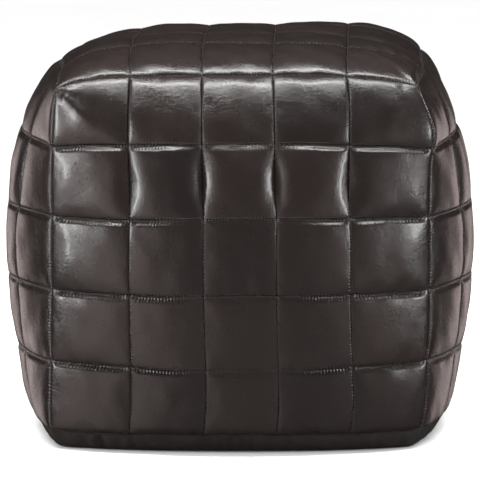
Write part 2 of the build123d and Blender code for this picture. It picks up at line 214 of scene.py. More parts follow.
def turned_about_z(points, quarter_turns):
    x, y, z = points[..., 0], points[..., 1], points[..., 2]
    cos, sin = ((1, 0), (0, 1), (-1, 0), (0, -1))[quarter_turns]
    return np.stack([x * cos - y * sin, x * sin + y * cos, z], -1)


def face_surface(face, a, level, depth=0.0):
    """Any face of the cover but the base, at a depth below its seams."""
    if face == "top":
        return top_surface(a, level, depth)
    return turned_about_z(side_surface(a, level, depth), SIDES.index(face))


def normals_of(points):
    """Unit normals of a grid of points, outwards when its rows run across and its columns up."""
    along_u = np.gradient(points, axis=0)
    along_v = np.gradient(points, axis=1)
    normal = np.cross(along_u, along_v)
    return normal / np.linalg.norm(normal, axis=-1, keepdims=True)


# ---- Irregularity shared by every piece, so that seams stay closed ----

def waves(points, wavelength, seed, count=10):
    """Smooth random field of about -1 to 1 over points."""
    picker = np.random.default_rng(seed)
    total = np.zeros(points.shape[:-1])
    for _ in range(count):
        direction = picker.normal(size=points.shape[-1])
        direction /= np.linalg.norm(direction) * wavelength * picker.uniform(0.75, 1.6)
        total += np.cos(2 * math.pi * (points @ direction) + picker.uniform(0, 2 * math.pi))
    return total / math.sqrt(count)


# Where the cover is pulled in or pushed out: place, pull and reach, in millimetres.
PULLS = (
    ((168, -168, 338), (-7, 5, 1), 26),
    ((171, -170, 296), (4, -2, 0), 26),
    ((-168, -168, 338), (1, 2, -2), 30),
    ((-118, -203, 322), (0, -4, 1), 26),
    ((130, 50, 362), (3, 0, 8), 65),
    ((-150, -20, 350), (-5, 0, 0), 50),
    ((-172, -90, 330), (5, 0, 0), 45),
    ((-140, -60, 354), (-2, 0, 4), 40),
    ((-175, -175, 12), (-5, 0, 0), 50),
    ((175, -175, 12), (-4, 0, 0), 35),
    ((-60, -215, 190), (0, 0, 2), 90),
    ((60, -215, 190), (0, 0, 3), 90),
)
DRIFT = 0.8 * MM
DRIFT_WAVELENGTH = 0.13
STILL_HEIGHT = 12 * MM          # the form keeps still below this height,
STILL_RUN = 50 * MM             # and the unevenness grows to full strength over this rise
COLUMN_LEAN = 2.6 * MM          # inner columns lean left on their way up,
LEAN_HEIGHT = 185 * MM          # about this height
LEAN_RUN = 160 * MM
CORNER_PULL = 2.6 * MM          # the front corner seams are drawn outwards
CORNER_PULL_REACH = 13 * MM
CROWN_LEAN = 7 * MM             # the top leans right on its way back,
CROWN_LEAN_HEIGHT = 290 * MM    # from this height up
CROWN_LEAN_RUN = 60 * MM
BASE_SAG = 0.14                 # share of its height that the lowest padding settles by,
CORNER_SAG = 0.13               # and how much more it settles at the corners
SAG_HEIGHT = 20 * MM
SAG_RUN = 60 * MM


def warped(points):
    """The form with its hand-made unevenness; the flat base stays flat."""
    x, y, z = points[..., 0], points[..., 1], points[..., 2]
    held = smooth((z - STILL_HEIGHT) / STILL_RUN)
    drift = np.stack([waves(points, DRIFT_WAVELENGTH, seed) for seed in (11, 12, 13)], -1)
    moved = points + (held * DRIFT)[..., None] * drift
    inner = share(1 - (x / HALF) ** 2)
    moved[..., 0] += held * COLUMN_LEAN * inner * (LEAN_HEIGHT - z) / LEAN_RUN
    back = smooth((y + HALF) / (2 * HALF))
    moved[..., 0] += CROWN_LEAN * smooth((z - CROWN_LEAN_HEIGHT) / CROWN_LEAN_RUN) * back
    from_corner = ((np.abs(x) - HALF) ** 2 + (y + HALF) ** 2) / CORNER_PULL_REACH ** 2
    moved[..., 0] += held * CORNER_PULL * np.sign(x) * np.exp(-from_corner)
    corner = share(np.abs(x * y) / HALF ** 2) ** 4
    settled = (BASE_SAG + CORNER_SAG * corner) * (1 - smooth((z - SAG_HEIGHT) / SAG_RUN))
    moved[..., 2] -= settled * z
    for place, pull, reach in PULLS:
        near = np.exp(-np.sum((points - MM * np.array(place)) ** 2, -1) / (reach * MM) ** 2)
        moved = moved + near[..., None] * MM * np.array(pull)
    return moved


# ---- Mesh building ----

def graded(count, ease=0.86):
    """From 0 to 1 in steps that are short at both ends."""
    t = np.linspace(0, 1, count + 1)
    return t - ease * np.sin(2 * math.pi * t) / (2 * math.pi)


def grid_faces(nu, nv, flip=False):
    i, j = np.meshgrid(np.arange(nu - 1), np.arange(nv - 1), indexing="ij")
    corner = (i * nv + j).ravel()
    quads = np.stack([corner, corner + nv, corner + nv + 1, corner + 1], -1)
    return quads[:, ::-1] if flip else quads


def rim_faces(nu, nv, start, other):
    """Joins the borders of two grids of the same size."""
    i = np.arange(nu)
    j = np.arange(nv)
    loop = np.concatenate([i[:-1] * nv, (nu - 1) * nv + j[:-1], i[:0:-1] * nv + nv - 1, j[:0:-1]])
    after = np.roll(loop, -1)
    return np.stack([start + after, start + loop, other + loop, other + after], -1)


def make_mesh(name, points, quads, attributes=None):
    mesh = bpy.data.meshes.new(name)
    mesh.vertices.add(len(points))
    mesh.vertices.foreach_set("co", np.asarray(points, np.float32).ravel())
    mesh.loops.add(quads.size)
    mesh.loops.foreach_set("vertex_index", quads.astype(np.int32).ravel())
    mesh.polygons.add(len(quads))
    mesh.polygons.foreach_set("loop_start", np.arange(0, quads.size, quads.shape[1], dtype=np.int32))
    mesh.update(calc_edges=True)
    mesh.shade_smooth()
    for key, values in (attributes or {}).items():
        layer = mesh.attributes.new(key, "FLOAT", "POINT")
        layer.data.foreach_set("value", np.asarray(values, np.float32))
    return mesh


def add_piece(mesh, body, material, replaced):
    piece = bpy.data.objects.new(mesh.name, mesh)
    bpy.context.scene.collection.objects.link(piece)
    mesh.materials.append(material)
    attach(piece, body)
    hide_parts(*replaced)
    return piece


class Parts:
    """Gathers the points, quads and attributes of the solids that share one piece."""

    def __init__(self):
        self.points, self.quads, self.values, self.count = [], [], {}, 0

    def add(self, points, quads, **values):
        self.points.append(points)
        self.quads.append(quads + self.count)
        for key, value in values.items():
            self.values.setdefault(key, []).append(np.broadcast_to(value, len(points)))
        self.count += len(points)

    def mesh(self, name):
        values = {key: np.concatenate(v) for key, v in self.values.items()}
        return make_mesh(name, np.concatenate(self.points), np.concatenate(self.quads), values)


# ---- Leather patches ----

def patch_edges(index):
    """Seam lines of a column or row, from -1 to 1."""
    step = 2 / PATCHES
    return -1 + index * step, -1 + (index + 1) * step


def seam_pull(face, a, c, along_row):
    """How far a seam is drawn in at a place on a face, from 0 to 1."""
    outer = smooth((np.abs(a) - 0.30) / 0.45)
    if face == "top":
        pull = 0.42 + 0.15 * waves(np.stack([a, c], -1), 1.1, 51, 6)
    elif along_row:
        upper = np.exp(-((c - 0.6) / 0.25) ** 2)
        pull = 0.16 + 0.66 * outer + 0.35 * upper * (1 - outer)
        pull = pull + 0.12 * waves(np.stack([a, c], -1), 0.9, 52 + FACES.index(face), 6)
    else:
        upper = smooth((c - 0.05) / 0.35)
        pull = 0.32 + 0.42 * upper + 0.18 * outer
        pull = pull + 0.12 * waves(np.stack([a, c], -1), 0.9, 62 + FACES.index(face), 6)
    at_edge = smooth((np.abs(c if along_row else a) - 0.9) / 0.1)
    return np.clip(pull + (1 - pull) * at_edge, 0.12, 1.0)


def shoulder_of(distance, pull, wide_shoulder=WIDE_SHOULDER):
    """Share of the full rise that a patch has reached at a distance from a seam."""
    tight = TIGHT_SHARE * np.exp(-distance / TIGHT_SHOULDER)
    wide = (1 - TIGHT_SHARE) * np.exp(-distance / wide_shoulder)
    return 1 - pull * (tight + wide)


def folds_at(points):
    """Height of the folds near points: each tapers from its start to nothing at its end."""
    total = np.zeros(points.shape[:-1])
    for start, end, height, width in FOLDS:
        origin = MM * np.array(start)
        run = MM * np.array(end) - origin
        place = share((points - origin) @ run / (run @ run))
        away = np.linalg.norm(points - origin - place[..., None] * run, axis=-1)
        spread = width * MM * (0.6 + 0.8 * place)
        total += height * MM * (1 - place ** 2) * np.exp(-(away / spread) ** 2)
    return total


def flattened(row, a, distances):
    """How far a side patch is held flat under the topstitching of the seam above it, from 0 to 1."""
    if row == PATCHES - 1:
        return np.zeros_like(a)
    below = distances[..., 3]
    flat = smooth(below / (2 * MM)) * (1 - smooth((below - LIP_START) / LIP_RUN))
    ends = smooth(distances[..., :2].min(-1) / (10 * MM))
    return flat * ends * (0.25 + 0.75 * smooth((np.abs(a) - 0.20) / 0.30))


def patch_form(face, column, row, s, t):
    """The padded form of one patch at the grid s by t, both from 0 to 1.

    Returns the seam-level points, their normals, the rise above them and the distances to the
    left, right, low and high seam.
    """
    a0, a1 = patch_edges(column)
    c0, c1 = patch_edges(row)
    a, c = np.meshgrid(a0 + (a1 - a0) * s, c0 + (c1 - c0) * t, indexing="ij")
    seam_level = warped(face_surface(face, a, c))
    normal = normals_of(seam_level)
    across, up = np.meshgrid(s * PATCH_SIZE, t * PATCH_SIZE, indexing="ij")
    distances = np.stack([across, PATCH_SIZE - across, up, PATCH_SIZE - up], -1)
    sideways = seam_pull(face, a, c, False)
    lengthways = seam_pull(face, a, c, True)
    side_face = face != "top"
    left_width = CORNER_SHOULDER if side_face and column == 0 else WIDE_SHOULDER
    right_width = CORNER_SHOULDER if side_face and column == PATCHES - 1 else WIDE_SHOULDER
    shoulder = shoulder_of(distances[..., 0], sideways, left_width)
    shoulder *= shoulder_of(distances[..., 1], sideways, right_width)
    shoulder *= shoulder_of(distances[..., 2], lengthways) * shoulder_of(distances[..., 3], lengthways)
    dome = 16 * (s * (1 - s))[:, None] * (t * (1 - t))[None, :]     # 1 at the patch's middle
    unevenness = waves(seam_level, UNEVENNESS_WAVELENGTH, 31, 10) * UNEVENNESS * np.sqrt(dome)
    rise = RISE * shoulder + DOME * dome + unevenness
    rise += folds_at(seam_level) * smooth(distances.min(-1) / FOLD_FADE)
    if side_face:
        depth = np.exp(-((c - VALLEY_LEVEL) / VALLEY_HEIGHT) ** 2)
        for edge, at in ((0, column), (1, column + 1)):
            if 0 < at < PATCHES:
                rise -= VALLEYS[at - 1] * depth * np.exp(-(distances[..., edge] / VALLEY_REACH) ** 1.5)
        rise -= LIP * flattened(row, a, distances)
    return seam_level, normal, rise, distances


def patch_surface(face, column, row, s, t):
    """Outer surface of one patch at the grid s by t.

    Also returns how strongly the stitches dent the leather there and the distance along the seam.
    """
    seam_level, normal, rise, distances = patch_form(face, column, row, s, t)
    nearest = distances.min(-1)
    upright_seam = distances[..., :2].min(-1) < distances[..., 2:].min(-1)
    along = np.where(upright_seam, distances[..., 2], distances[..., 0])
    crease = CREASE_DEPTH * np.exp(-nearest / CREASE_REACH)
    outer = seam_level + normal * (rise - crease)[..., None]
    if face in SLACK:
        outer = outer + slack_at(face, column + s, row + t)
    stitched = np.exp(-nearest / TICK_REACH)
    if face != "top":
        a0, a1 = patch_edges(column)
        a = np.broadcast_to((a0 + (a1 - a0) * s)[:, None], nearest.shape)
        stitched = np.maximum(stitched, LIP_DENT * flattened(row, a, distances))
    return outer, stitched, along


def inner_grid(outer):
    """The same sheet's inside, a leather's thickness below its outside."""
    return outer - normals_of(outer) * LEATHER


# ---- Cloth simulation: the leather's slack along its seams ----

CLOTH_CELLS = 20                # per patch
CLOTH_FRAMES = 14
CLOTH_REACH = 1.6 * MM          # the most that a point may move
SLACK_GROWTH = 0.008            # extra leather gathered into the seams
SLACK_BAND = 9 * MM
SLACK_HOLD = 3 * MM             # right at a seam the stitches hold the leather
SLACK_SHARE = 0.75              # how much of the simulated movement is used
SEWN_WITHIN = 0.01 * MM         # points this near a seam are pinned
TAUT_LEVELS = 10
SLACK = {}                      # face: how far the simulation moved its grid


def cloth_start(face):
    """The face's padded grid, its distance from the nearest seam and its quads."""
    n = PATCHES * CLOTH_CELLS + 1
    points = np.zeros((n, n, 3))
    nearest = np.zeros((n, n))
    steps = np.linspace(0, 1, CLOTH_CELLS + 1)
    for column in range(PATCHES):
        for row in range(PATCHES):
            seam_level, normal, rise, distances = patch_form(face, column, row, steps, steps)
            i, j = column * CLOTH_CELLS, row * CLOTH_CELLS
            block = np.s_[i:i + CLOTH_CELLS + 1, j:j + CLOTH_CELLS + 1]
            points[block] = seam_level + normal * rise[..., None]
            nearest[block] = distances.min(-1)
    quads = grid_faces(n, n)
    odd = np.add.outer(np.arange(n - 1), np.arange(n - 1)).ravel() % 2 == 1
    quads[odd] = np.roll(quads[odd], 1, axis=1)     # diagonals alternate, so folds run either way
    return points, nearest, quads


def sew_down(sheet, nearest):
    """Sets the sheet up as cloth: sewn along the seams, with slack leather beside them."""
    sewn = sheet.vertex_groups.new(name="sewn")
    sewn.add(np.flatnonzero(nearest < SEWN_WITHIN).tolist(), 1.0, "REPLACE")
    taut = sheet.vertex_groups.new(name="taut")
    taut_levels = np.round(TAUT_LEVELS * (1 - np.exp(-nearest / SLACK_BAND)))
    for level in range(TAUT_LEVELS + 1):
        taut.add(np.flatnonzero(taut_levels == level).tolist(), level / TAUT_LEVELS, "REPLACE")
    cloth = sheet.modifiers.new("Cloth", "CLOTH")
    cloth.collision_settings.use_collision = False
    settings = cloth.settings
    settings.quality = 4
    settings.tension_stiffness = 40
    settings.compression_stiffness = 40
    settings.shear_stiffness = 20
    settings.bending_stiffness = 10
    settings.effector_weights.gravity = 0
    settings.vertex_group_mass = "sewn"
    settings.vertex_group_shrink = "taut"
    settings.shrink_min = -SLACK_GROWTH
    settings.shrink_max = 0
    settings.use_pressure = True
    settings.uniform_pressure_force = 80
    cloth.point_cache.frame_end = CLOTH_FRAMES


def simulate_slack():
    """Runs Cloth on all faces at once and keeps how far each point of them moved."""
    parts = Parts()
    starts = []
    nearest_grids = []
    for face in FACES:
        points, nearest, quads = cloth_start(face)
        starts.append(points)
        nearest_grids.append(nearest)
        parts.add(points.reshape(-1, 3), quads, nearest=nearest.ravel())
    sheet = bpy.data.objects.new("cloth_run", parts.mesh("cloth_run"))
    bpy.context.scene.collection.objects.link(sheet)
    sew_down(sheet, np.concatenate(parts.values["nearest"]))
    for number in range(1, CLOTH_FRAMES + 1):
        bpy.context.scene.frame_set(number)
    result = sheet.evaluated_get(bpy.context.evaluated_depsgraph_get()).to_mesh()
    moved = np.empty(len(result.vertices) * 3)
    result.vertices.foreach_get("co", moved)
    moved = moved.reshape(len(FACES), *starts[0].shape) - np.stack(starts)
    bpy.data.objects.remove(sheet)
    bpy.context.scene.frame_set(1)
    size = np.linalg.norm(moved, axis=-1, keepdims=True)
    moved *= np.minimum(1, CLOTH_REACH / np.maximum(size, 1e-9))
    held = smooth(np.stack(nearest_grids) / SLACK_HOLD)[..., None]
    for face, shift, hold in zip(FACES, moved, held):
        SLACK[face] = SLACK_SHARE * hold * softened(shift)


def softened(grid):
    """The grid with each value averaged with its neighbours."""
    for axis in (0, 1):
        ends = [(1, 1) if k == axis else (0, 0) for k in range(3)]
        wide = np.pad(grid, ends, mode="edge")
        low, high = [np.take(wide, np.arange(len(grid)) + k, axis=axis) for k in (0, 2)]
        grid = 0.5 * grid + 0.25 * (low + high)
    return grid


def spline_weights(place):
    """Catmull-Rom weights of the four grid lines around each place."""
    base = np.floor(place).astype(int)
    f = place - base
    weights = np.stack([
        -0.5 * f + f ** 2 - 0.5 * f ** 3,
        1 - 2.5 * f ** 2 + 1.5 * f ** 3,
        0.5 * f + 2 * f ** 2 - 1.5 * f ** 3,
        -0.5 * f ** 2 + 0.5 * f ** 3,
    ], -1)
    return base, weights


def slack_at(face, columns, rows):
    """The simulated movement between the grid lines of a face, smoothly."""
    last = PATCHES * CLOTH_CELLS
    at_i, weight_i = spline_weights(np.asarray(columns) * CLOTH_CELLS)
    at_j, weight_j = spline_weights(np.asarray(rows) * CLOTH_CELLS)
    near_i = np.clip(at_i[:, None] + np.arange(-1, 3), 0, last)
    near_j = np.clip(at_j[:, None] + np.arange(-1, 3), 0, last)
    grid = SLACK[face][near_i[:, None, :, None], near_j[None, :, None, :]]
    return np.einsum("ip,jq,ijpqk->ijk", weight_i, weight_j, grid)


def leather_row(face, row_number):
    row = row_number - 1 if face == "top" else PATCHES - row_number
    steps = graded(PATCH_STEPS)
    inset = SEAM_GAP / (2 * HALF / PATCHES)
    steps = inset + (1 - 2 * inset) * steps
    parts = Parts()
    n = PATCH_STEPS + 1
    for column in range(PATCHES):
        outer, stitched, along = patch_surface(face, column, row, steps, steps)
        inside = inner_grid(outer)
        tone = rng.uniform(0, 1)
        for grid, flip in ((outer, False), (inside, True)):
            parts.add(
                grid.reshape(-1, 3), grid_faces(n, n, flip=flip),
                stitched=stitched.ravel(), along_mm=along.ravel() / MM, tone=tone,
            )
        total = parts.count
        parts.quads.append(rim_faces(n, n, total - 2 * n * n, total - n * n))
    return parts.mesh(f"{face}_leather_row_{row_number}")


# ---- Stitching ----

BAR_SIDES = 6


def bar_quads(rings):
    """Quads of a closed six-sided bar with this many rings of points."""
    ring, side = np.meshgrid(np.arange(rings - 1), np.arange(BAR_SIDES), indexing="ij")
    low = (ring * BAR_SIDES + side).ravel()
    beside = (ring * BAR_SIDES + (side + 1) % BAR_SIDES).ravel()
    walls = np.stack([low, beside, beside + BAR_SIDES, low + BAR_SIDES], -1)
    last = (rings - 1) * BAR_SIDES
    first_cap = [(3, 2, 1, 0), (5, 4, 3, 0)]
    last_cap = [(last, last + 1, last + 2, last + 3), (last, last + 3, last + 4, last + 5)]
    return np.concatenate([walls, first_cap, last_cap])


def stitch_shape():
    """One stitch along X: a short rounded bar."""
    along = np.linspace(-1, 1, 5)
    radius = np.sqrt(np.clip(1.06 - np.abs(along) ** 3, 0, 1))
    turn = np.linspace(0, 2 * math.pi, BAR_SIDES, endpoint=False)
    points = [
        (x * STITCH_LENGTH / 2, STITCH_RADIUS * r * math.cos(w), STITCH_RADIUS * r * math.sin(w))
        for x, r in zip(along, radius) for w in turn
    ]
    return np.array(points), bar_quads(len(along))


def add_stitches(parts, line, normals, lift=STITCH_LIFT):
    """Stitches at an even pitch along a line of points."""
    shape, quads = stitch_shape()
    lengths = np.concatenate([[0], np.cumsum(np.linalg.norm(np.diff(line, axis=0), axis=1))])
    stitched_length = lengths[-1] - 2 * STITCH_END_GAP
    count = max(1, int(stitched_length / STITCH_PITCH))
    places = STITCH_END_GAP + (np.arange(count) + 0.5) * stitched_length / count

    def interpolated(place, values):
        return np.array([np.interp(place, lengths, values[:, k]) for k in range(3)])

    for place in places:
        middle = interpolated(place, line)
        up = interpolated(place, normals)
        forward = interpolated(place + MM, line) - interpolated(place - MM, line)
        forward /= np.linalg.norm(forward)
        side = np.cross(up, forward)
        side /= np.linalg.norm(side)
        up = np.cross(forward, side)
        axes = np.stack([forward, side, up])
        parts.add(middle + up * lift + shape @ axes, quads)


def edge_line(face, column, row, edge, distance):
    """A line on the leather along one edge of a patch, at a distance from the seam.

    Returns its points and normals, from a narrow strip of the patch with the line in its middle.
    """
    run = np.linspace(0.01, 0.99, 60)
    across = distance / PATCH_SIZE + np.array([-0.001, 0, 0.001])
    if edge in ("low", "high"):
        across = across if edge == "low" else 1 - across[::-1]
        outer, _, _ = patch_surface(face, column, row, run, across)
        return outer[:, 1], normals_of(outer)[:, 1]
    across = across if edge == "left" else 1 - across[::-1]
    outer, _, _ = patch_surface(face, column, row, across, run)
    return outer[1], normals_of(outer)[1]


def face_stitches(face):
    parts = Parts()
    for column in range(PATCHES):
        for row in range(PATCHES):
            if row > 0:
                add_stitches(parts, *edge_line(face, column, row, "low", ROW_STITCH_OFFSET))
            if column > 0:
                add_stitches(parts, *edge_line(face, column, row, "left", COLUMN_STITCH_OFFSET))
    return parts.mesh(f"{face}_stitches")


def edge_stitches(edge, name):
    parts = Parts()
    row = PATCHES - 1 if edge == "high" else 0
    for face in SIDES:
        for column in range(PATCHES):
            add_stitches(parts, *edge_line(face, column, row, edge, EDGE_STITCH_OFFSET))
    return parts.mesh(name)


def corner_stitches():
    parts = Parts()
    for face in SIDES:
        for row in range(PATCHES):
            add_stitches(parts, *edge_line(face, 0, row, "left", CORNER_STITCH_OFFSET))
    return parts.mesh("corner_stitches")


# ---- Base cloth, liner and stuffing ----

def base_cloth(side):
    """Half of the base panel, with small gathers where it is sewn to the leather."""
    u = BASE_REACH * (2 * graded(BASE_CELLS[0], BASE_EASE) - 1)
    v = graded(BASE_CELLS[1], BASE_EASE)
    if side < 0:
        v = v[::-1]
    grid_u, grid_v = np.meshgrid(u, v, indexing="ij")
    closed = smooth((np.abs(grid_u) - ZIP_CLOSES_AT) / ZIP_CLOSES_OVER)
    zip_edge = ZIP_OPENING / 2 / BASE_HALF * (1 - closed)
    grid_v = side * (zip_edge + (BASE_REACH - zip_edge) * grid_v)
    edge = np.minimum(1 - np.abs(grid_u), 1 - np.abs(grid_v)) * HALF
    round_the_edge = np.arctan2(grid_v, grid_u)[..., None]
    gather = waves(round_the_edge, GATHER_TURN, 71, 8) * GATHER
    gather = gather * np.exp(-(edge / GATHER_REACH) ** 2) * smooth(edge / GATHER_START)
    outside = warped(base_surface(grid_u, grid_v))
    normal = -normals_of(outside)
    lifted = smooth(outside[..., 2] / GATHER_HEIGHT)
    outside = outside + normal * (gather * lifted)[..., None]
    outside[..., 2] = np.maximum(outside[..., 2], 0)
    inside = outside - normal * BASE_PANEL
    inside[..., 2] = np.maximum(inside[..., 2], BASE_PANEL / 2)
    parts = Parts()
    nu, nv = len(u), len(v)
    parts.add(outside.reshape(-1, 3), grid_faces(nu, nv, flip=True))
    parts.add(inside.reshape(-1, 3), grid_faces(nu, nv))
    parts.quads.append(rim_faces(nu, nv, 0, nu * nv)[:, ::-1])
    return parts.mesh("base_cloth_front" if side < 0 else "base_cloth_back")


def welded(points, quads):
    """Joins points that share a place."""
    keys = np.round(points / (0.02 * MM)).astype(np.int64)
    _, first, back = np.unique(keys, axis=0, return_index=True, return_inverse=True)
    return points[first], back.ravel()[quads]


def filled_form(name, depth, lumps):
    """The whole form at a depth below the seams, lumpy inwards."""
    steps = np.linspace(-1, 1, FORM_STEPS)
    grid_a, grid_c = np.meshgrid(steps, steps, indexing="ij")
    parts = Parts()
    for face in FACES:
        surface = face_surface(face, grid_a, grid_c, depth)
        parts.add(surface.reshape(-1, 3), grid_faces(FORM_STEPS, FORM_STEPS))
    surface = liner_base_surface(grid_a, grid_c, depth)
    parts.add(surface.reshape(-1, 3), grid_faces(FORM_STEPS, FORM_STEPS, flip=True))
    points, quads = welded(np.concatenate(parts.points), np.concatenate(parts.quads))
    points = warped(points)
    inwards = FORM_CENTRE - points
    inwards /= np.linalg.norm(inwards, axis=-1, keepdims=True)
    sunk = lumps * share(0.5 + 0.35 * waves(points, LUMP_WAVELENGTH, 91, 8))
    return make_mesh(name, points + inwards * sunk[:, None], quads)


# ---- Zip ----

COIL_WIRE = 0.28 * MM           # radius of the nylon
COIL_PITCH = 1.45 * MM
COIL_STEPS = 10                 # per turn


def coil(side, node):
    """The nylon coil of one side of the zip, wound inside the frame's bar."""
    low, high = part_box(node)
    centre = (low + high) / 2
    radius_y = (high.y - low.y) / 2 - COIL_WIRE
    radius_z = (high.z - low.z) / 2 - COIL_WIRE
    turns = int((high.x - low.x - 2 * COIL_WIRE) / COIL_PITCH)
    t = np.linspace(0, turns * 2 * math.pi, turns * COIL_STEPS + 1)
    x = low.x + COIL_WIRE + t / (2 * math.pi) * COIL_PITCH
    line = np.stack([x, centre.y + radius_y * np.cos(t), centre.z + radius_z * np.sin(t)], -1)
    return tube("zip_coil_front" if side < 0 else "zip_coil_back", line, COIL_WIRE)


def tube(name, line, radius):
    """A wire along a line of points."""
    forward = np.gradient(line, axis=0)
    forward /= np.linalg.norm(forward, axis=1, keepdims=True)
    first = np.cross(forward, [1.0, 0.0, 0.0])
    first /= np.linalg.norm(first, axis=1, keepdims=True)
    second = np.cross(forward, first)
    turn = np.linspace(0, 2 * math.pi, BAR_SIDES, endpoint=False)
    ring = np.cos(turn)[None, :, None] * first[:, None] + np.sin(turn)[None, :, None] * second[:, None]
    points = (line[:, None] + radius * ring).reshape(-1, 3)
    return make_mesh(name, points, bar_quads(len(line)))


def zip_stitches(side, node):
    low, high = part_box(node)
    u = np.linspace(low.x, high.x, 200)
    v = (low.y + high.y) / 2 / BASE_HALF
    line = base_surface(u / BASE_HALF, np.full_like(u, v), -STITCH_RADIUS)
    normals = np.tile([0.0, 0.0, -1.0], (len(u), 1))
    parts = Parts()
    add_stitches(parts, line, normals, lift=0)
    return parts.mesh("zip_stitches_front" if side < 0 else "zip_stitches_back")


# ---- Materials ----

def new_material(name):
    """A material with its nodes, links and shader."""
    material = bpy.data.materials.new(name)
    material.use_nodes = True
    nodes = material.node_tree.nodes
    return material, nodes, material.node_tree.links, nodes["Principled BSDF"]


def ramp_node(nodes, stops):
    ramp = nodes.new("ShaderNodeValToRGB")
    elements = ramp.color_ramp.elements
    for element, (position, colour) in zip(elements, (stops[0], stops[-1])):
        element.position = position
        element.color = (*colour, 1)
    for position, colour in stops[1:-1]:
        elements.new(position).color = (*colour, 1)
    return ramp


def noise_node(nodes, links, coordinates, scale, detail, roughness, distortion=0.0):
    node = nodes.new("ShaderNodeTexNoise")
    node.inputs["Scale"].default_value = scale
    node.inputs["Detail"].default_value = detail
    node.inputs["Roughness"].default_value = roughness
    node.inputs["Distortion"].default_value = distortion
    links.new(coordinates, node.inputs["Vector"])
    return node


def math_node(nodes, links, operation, *values):
    node = nodes.new("ShaderNodeMath")
    node.operation = operation
    for socket, value in zip(node.inputs, values):
        if isinstance(value, (int, float)):
            socket.default_value = value
        else:
            links.new(value, socket)
    return node.outputs[0]


def bump_node(nodes, links, height, strength, distance, normal=None):
    node = nodes.new("ShaderNodeBump")
    node.inputs["Strength"].default_value = strength
    node.inputs["Distance"].default_value = distance
    links.new(height, node.inputs["Height"])
    if normal is not None:
        links.new(normal, node.inputs["Normal"])
    return node.outputs["Normal"]


def leather_material():
    material, nodes, links, shader = new_material("waxed_leather")
    place = nodes.new("ShaderNodeTexCoord").outputs["Object"]
    attributes = {}
    for key in ("stitched", "along_mm", "tone"):
        node = nodes.new("ShaderNodeAttribute")
        node.attribute_name = key
        attributes[key] = node.outputs["Fac"]

    mottle = noise_node(nodes, links, place, 16, 4, 0.6).outputs["Fac"]
    patch_share = math_node(nodes, links, "MULTIPLY", attributes["tone"], 0.55)
    mottle_share = math_node(nodes, links, "MULTIPLY", mottle, 0.45)
    blend = math_node(nodes, links, "ADD", patch_share, mottle_share)
    colour = ramp_node(nodes, (
        (0.25, (0.0068, 0.0050, 0.0046)),
        (0.50, (0.0082, 0.0058, 0.0053)),
        (0.75, (0.0100, 0.0068, 0.0062)),
    ))
    links.new(blend, colour.inputs["Fac"])
    links.new(colour.outputs["Color"], shader.inputs["Base Color"])

    patchy = noise_node(nodes, links, place, 38, 3, 0.55).outputs["Fac"]
    rough = ramp_node(nodes, ((0.3, (0.20, 0.20, 0.20)), (0.7, (0.32, 0.32, 0.32))))
    links.new(patchy, rough.inputs["Fac"])
    links.new(rough.outputs["Color"], shader.inputs["Roughness"])

    grain = nodes.new("ShaderNodeTexVoronoi")
    grain.feature = "DISTANCE_TO_EDGE"
    grain.inputs["Scale"].default_value = 620
    links.new(place, grain.inputs["Vector"])
    pebble = math_node(nodes, links, "MINIMUM", grain.outputs["Distance"], 0.25)
    normal = bump_node(nodes, links, pebble, 0.30, 0.0006)
    creases = noise_node(nodes, links, place, 420, 4, 0.6, 0.3).outputs["Fac"]
    normal = bump_node(nodes, links, creases, 0.42, 0.0008, normal)
    dents = noise_node(nodes, links, place, 110, 2, 0.5, 0.2).outputs["Fac"]
    normal = bump_node(nodes, links, dents, 0.10, 0.0014, normal)

    phase = math_node(nodes, links, "MULTIPLY", attributes["along_mm"], 2 * math.pi / (STITCH_PITCH / MM))
    scallop = math_node(nodes, links, "COSINE", phase)
    height = math_node(nodes, links, "MULTIPLY", scallop, attributes["stitched"])
    normal = bump_node(nodes, links, height, 0.6, 0.0007, normal)
    links.new(normal, shader.inputs["Normal"])

    shader.inputs["IOR"].default_value = 1.40
    shader.inputs["Coat Weight"].default_value = 0.12
    shader.inputs["Coat Roughness"].default_value = 0.14
    return material


def cloth_material(name, dark, light, scale, roughness, bump=0.5):
    """Woven cloth: crossed wave bands with flecks."""
    material, nodes, links, shader = new_material(name)
    place = nodes.new("ShaderNodeTexCoord").outputs["Object"]
    bands = []
    for direction in ("X", "Y", "Z"):
        wave = nodes.new("ShaderNodeTexWave")
        wave.bands_direction = direction
        wave.inputs["Scale"].default_value = scale
        wave.inputs["Distortion"].default_value = 0.6
        links.new(place, wave.inputs["Vector"])
        bands.append(wave.outputs["Fac"])
    crossed = math_node(nodes, links, "MULTIPLY", bands[0], bands[1])
    upright = math_node(nodes, links, "MULTIPLY", bands[2], 0.6)
    weave = math_node(nodes, links, "MAXIMUM", crossed, upright)
    fleck = noise_node(nodes, links, place, 90, 4, 0.65).outputs["Fac"]
    weave_share = math_node(nodes, links, "MULTIPLY", weave, 0.4)
    fleck_share = math_node(nodes, links, "MULTIPLY", fleck, 0.6)
    mixed = math_node(nodes, links, "ADD", weave_share, fleck_share)
    colour = ramp_node(nodes, ((0.3, dark), (0.7, light)))
    links.new(mixed, colour.inputs["Fac"])
    links.new(colour.outputs["Color"], shader.inputs["Base Color"])
    links.new(bump_node(nodes, links, mixed, bump, 0.0006), shader.inputs["Normal"])
    shader.inputs["Roughness"].default_value = roughness
    shader.inputs["Specular IOR Level"].default_value = 0.25
    return material


